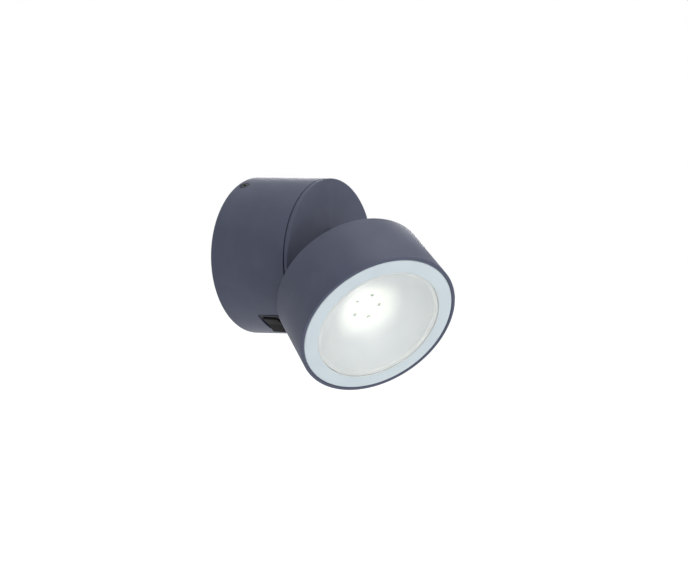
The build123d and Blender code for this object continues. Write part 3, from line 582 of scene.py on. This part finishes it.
# ---- light source: a domed phosphor face, and clips round the reflector's throat
chip = {"crown": 0.35, "rings": 6, "sides": 96}  # crown in mm
throatClips = {"count": 5, "start": 54.0, "radius": 8.0, "length": 2.4, "width": 2.3,
               "height": 1.5, "above": 0.6, "edge": 0.25}  # mm, degrees


def makeChip(sizes):
    span = spanOf("led_emitter", headPlace)
    low, high, outer = span["low"], span["high"], span["outer"]
    crown = sizes["crown"] * mm
    turns = [pi / 2 * k / sizes["rings"] for k in range(sizes["rings"])]
    dome = [(outer * cos(turn), high - crown + crown * sin(turn)) for turn in turns]
    return turnPiece("light_chip", [(outer, low)] + dome, sizes["sides"], closed=False)


def makeClips(sizes, throatHeight):
    first = None
    for k in range(sizes["count"]):
        turn = radians(sizes["start"] + 360 * k / sizes["count"])
        spot = (sizes["radius"] * cos(turn) * mm, sizes["radius"] * sin(turn) * mm,
                (throatHeight + sizes["above"] - sizes["height"] / 2) * mm)
        clearSelection()
        bpy.ops.mesh.primitive_cube_add(size=1, location=spot, rotation=(0, 0, turn))
        clip = bpy.context.object
        clip.dimensions = (sizes["length"] * mm, sizes["width"] * mm, sizes["height"] * mm)
        bpy.ops.object.transform_apply(location=True, rotation=True, scale=True)
        roundEdges(clip, sizes["edge"] * mm, 2)
        first = clip if first is None else joinPieces(first, [clip])
    first.name = first.data.name = "throat_clips"
    return first


lightChip = makeChip(chip)
settle(lightChip, headPlace, "head", litPhosphor, ["led_emitter"])
clips = makeClips(throatClips, bowl["throatHeight"])
settle(clips, headPlace, "head", clipPlastic)
print("light source made")


# ---- rocker switch: hollow frame, and a rocker with a shallow V top
switch = {"throw": 14.0, "endRadius": 8.6, "width": 10.6, "skirt": 3.0, "apex": 4.6,
          "pinRadius": 1.2, "pinReach": 0.7, "edge": 0.35,
          "frameLength": 21.0, "frameWidth": 15.0, "frameThick": 1.6, "frameCorner": 1.2,
          "frameEdge": 0.5, "caseLength": 18.8, "caseWidth": 12.8, "caseDepth": 15.0,
          "pivotDepth": 3.6, "windowLength": 17.8, "windowWidth": 11.2, "well": 4.5,
          "pinGap": 0.05, "pinEndGap": 0.1, "caseOverlap": 0.2, "cutOver": 1.0,
          "caseEdge": 0.12}  # mm, throw in degrees


def addBlock(low, high):
    # a cube shaped to two opposite corners, given in mm
    clearSelection()
    middle = [(a + b) / 2 * mm for a, b in zip(low, high)]
    bpy.ops.mesh.primitive_cube_add(size=1, location=middle)
    piece = bpy.context.object
    piece.dimensions = [(b - a) * mm for a, b in zip(low, high)]
    bpy.ops.object.transform_apply(location=True, rotation=False, scale=True)
    return piece


def combine(piece, tool, how):
    addModifier(piece, "BOOLEAN", object=tool, operation=how, solver="EXACT")
    bpy.data.objects.remove(tool)


def makeRocker(sizes):
    clearSelection()
    bpy.ops.mesh.primitive_cylinder_add(vertices=128, radius=sizes["endRadius"] * mm,
                                        depth=sizes["width"] * mm)
    piece = bpy.context.object
    piece.name = piece.data.name = "rocker_key"
    bpy.ops.object.mode_set(mode="EDIT")
    half = radians(sizes["throw"] / 2)
    cutAway(piece, (-sizes["skirt"] * mm, 0, 0), (-1, 0, 0))
    bpy.ops.object.mode_set(mode="OBJECT")
    reach = 2 * sizes["endRadius"]
    for side in (-1, 1):
        # a wedge above one half of the V
        wedge = addBlock((sizes["apex"], min(0, side * reach), -reach),
                         (sizes["apex"] + reach, max(0, side * reach), reach))
        makeActive(wedge)
        bpy.ops.object.mode_set(mode="EDIT")
        pickFaces(wedge, lambda centre, normal: normal.y * side > 0.9)
        bpy.ops.transform.translate(value=(reach * tan(half) * mm, 0, 0))
        bpy.ops.object.mode_set(mode="OBJECT")
        combine(piece, wedge, "DIFFERENCE")
    roundEdges(piece, sizes["edge"] * mm, 3, 25)
    clearSelection()
    bpy.ops.mesh.primitive_cylinder_add(vertices=48, radius=sizes["pinRadius"] * mm,
                                        depth=(sizes["width"] + 2 * sizes["pinReach"]) * mm)
    combine(piece, bpy.context.object, "UNION")
    return piece


def makeSwitchCase(sizes):
    # in the rocker's place: x out of the drum, y along the rocker, z along the drum
    top = sizes["pivotDepth"]
    floor = top - sizes["frameThick"]
    frame = addBlock((floor, -sizes["frameLength"] / 2, -sizes["frameWidth"] / 2),
                     (top, sizes["frameLength"] / 2, sizes["frameWidth"] / 2))
    makeActive(frame)
    bpy.ops.object.mode_set(mode="EDIT")
    pickEdges(frame, lambda edge: abs(edge.verts[0].co.x - edge.verts[1].co.x) > 0.5 * mm)
    bpy.ops.mesh.bevel(offset=sizes["frameCorner"] * mm, segments=6, affect="EDGES")
    pickFaces(frame, lambda centre, normal: normal.x > 0.9)
    bpy.ops.mesh.bevel(offset=sizes["frameEdge"] * mm, segments=3, affect="EDGES")
    bpy.ops.object.mode_set(mode="OBJECT")
    case = addBlock((floor - sizes["caseDepth"], -sizes["caseLength"] / 2, -sizes["caseWidth"] / 2),
                    (floor + sizes["caseOverlap"], sizes["caseLength"] / 2, sizes["caseWidth"] / 2))
    combine(frame, case, "UNION")
    window = addBlock((-sizes["well"], -sizes["windowLength"] / 2, -sizes["windowWidth"] / 2),
                      (top + sizes["cutOver"], sizes["windowLength"] / 2, sizes["windowWidth"] / 2))
    combine(frame, window, "DIFFERENCE")
    pinLength = sizes["width"] + 2 * (sizes["pinReach"] + sizes["pinEndGap"])
    clearSelection()
    pinHole = (sizes["pinRadius"] + sizes["pinGap"]) * mm
    bpy.ops.mesh.primitive_cylinder_add(vertices=48, radius=pinHole, depth=pinLength * mm)
    combine(frame, bpy.context.object, "DIFFERENCE")
    frame.name = frame.data.name = "switch_case"
    roundEdges(frame, sizes["caseEdge"] * mm, 2, 50)
    return frame


rockerTurn = Matrix.Rotation(-radians(switch["throw"] / 2), 4, "Z")
rocker = makeRocker(switch)
settle(rocker, switchPlace @ rockerTurn, "rocker", blackAbs, ["switch_rocker"])
switchCase = makeSwitchCase(switch)
settle(switchCase, switchPlace, "base", frameAbs, ["switch_body"])
print("switch made")


# ---- studio
studio = {"floorDrop": 0.5, "floorSize": 12.0, "floorGlow": 0.6, "worldGrey": 0.6}  # m
softboxes = {
    "softbox_top": {"spot": (0.15, -0.3, 1.2), "aim": (0, -0.05, 0), "size": 1.2, "power": 7.2},
    "softbox_back": {"spot": (1.35, 0.75, 0.35), "aim": (0, -0.05, 0), "size": 0.7,
                     "power": 16.5},
    "softbox_front": {"spot": (-0.35, -1.0, -0.2), "aim": (0, -0.08, 0), "size": 0.7,
                      "power": 4.4},
}  # metres and watts


def directRays(tree):
    # 1 where the camera looks, straight, through glass or in a mirror image, else 0
    path = addNode(tree, "ShaderNodeLightPath")
    seen = path.outputs["Is Camera Ray"]
    for ray in ("Is Transmission Ray", "Is Glossy Ray"):
        seen = addNode(tree, "ShaderNodeMath", links={0: seen, 1: path.outputs[ray]},
                       operation="MAXIMUM").outputs[0]
    return seen


def makeFloor(sizes):
    clearSelection()
    bpy.ops.mesh.primitive_plane_add(size=sizes["floorSize"],
                                     location=(0, 0, -sizes["floorDrop"]))
    floor = bpy.context.object
    floor.name = "studio_floor"
    # pale matt paper; light of its own where the camera looks keeps it white outside the shadow
    finish, tree, shader = newFinish("pale_paper_floor", Roughness=0.9)
    shader.inputs["Base Color"].default_value = colour("#dedede")
    seen = directRays(tree)
    glow = addNode(tree, "ShaderNodeMath", {1: sizes["floorGlow"]}, {0: seen}, operation="MULTIPLY")
    tree.links.new(glow.outputs[0], shader.inputs["Emission Strength"])
    shader.inputs["Emission Color"].default_value = colour("#ffffff")
    floor.data.materials.append(finish)


def makeWorld(sizes):
    world = bpy.data.worlds.new("studio_world")
    bpy.context.scene.world = world
    world.use_nodes = True
    tree = world.node_tree
    seen = directRays(tree)
    level = addNode(tree, "ShaderNodeMapRange", {"To Min": sizes["worldGrey"], "To Max": 1.0},
                    {"Value": seen})
    back = tree.nodes["Background"]
    back.inputs["Color"].default_value = colour("#ffffff")
    tree.links.new(level.outputs["Result"], back.inputs["Strength"])


def addSoftbox(name, spot, aim, size, power):
    clearSelection()
    bpy.ops.object.light_add(type="AREA", location=spot)
    lamp = bpy.context.object
    lamp.name = name
    lamp.data.shape = "SQUARE"
    lamp.data.size = size
    lamp.data.energy = power
    lamp.rotation_euler = (Vector(aim) - Vector(spot)).to_track_quat("-Z", "Y").to_euler()


makeFloor(studio)
makeWorld(studio)
for boxName, box in softboxes.items():
    addSoftbox(boxName, **box)
bpy.context.scene.view_settings.view_transform = "Standard"
print("studio made")
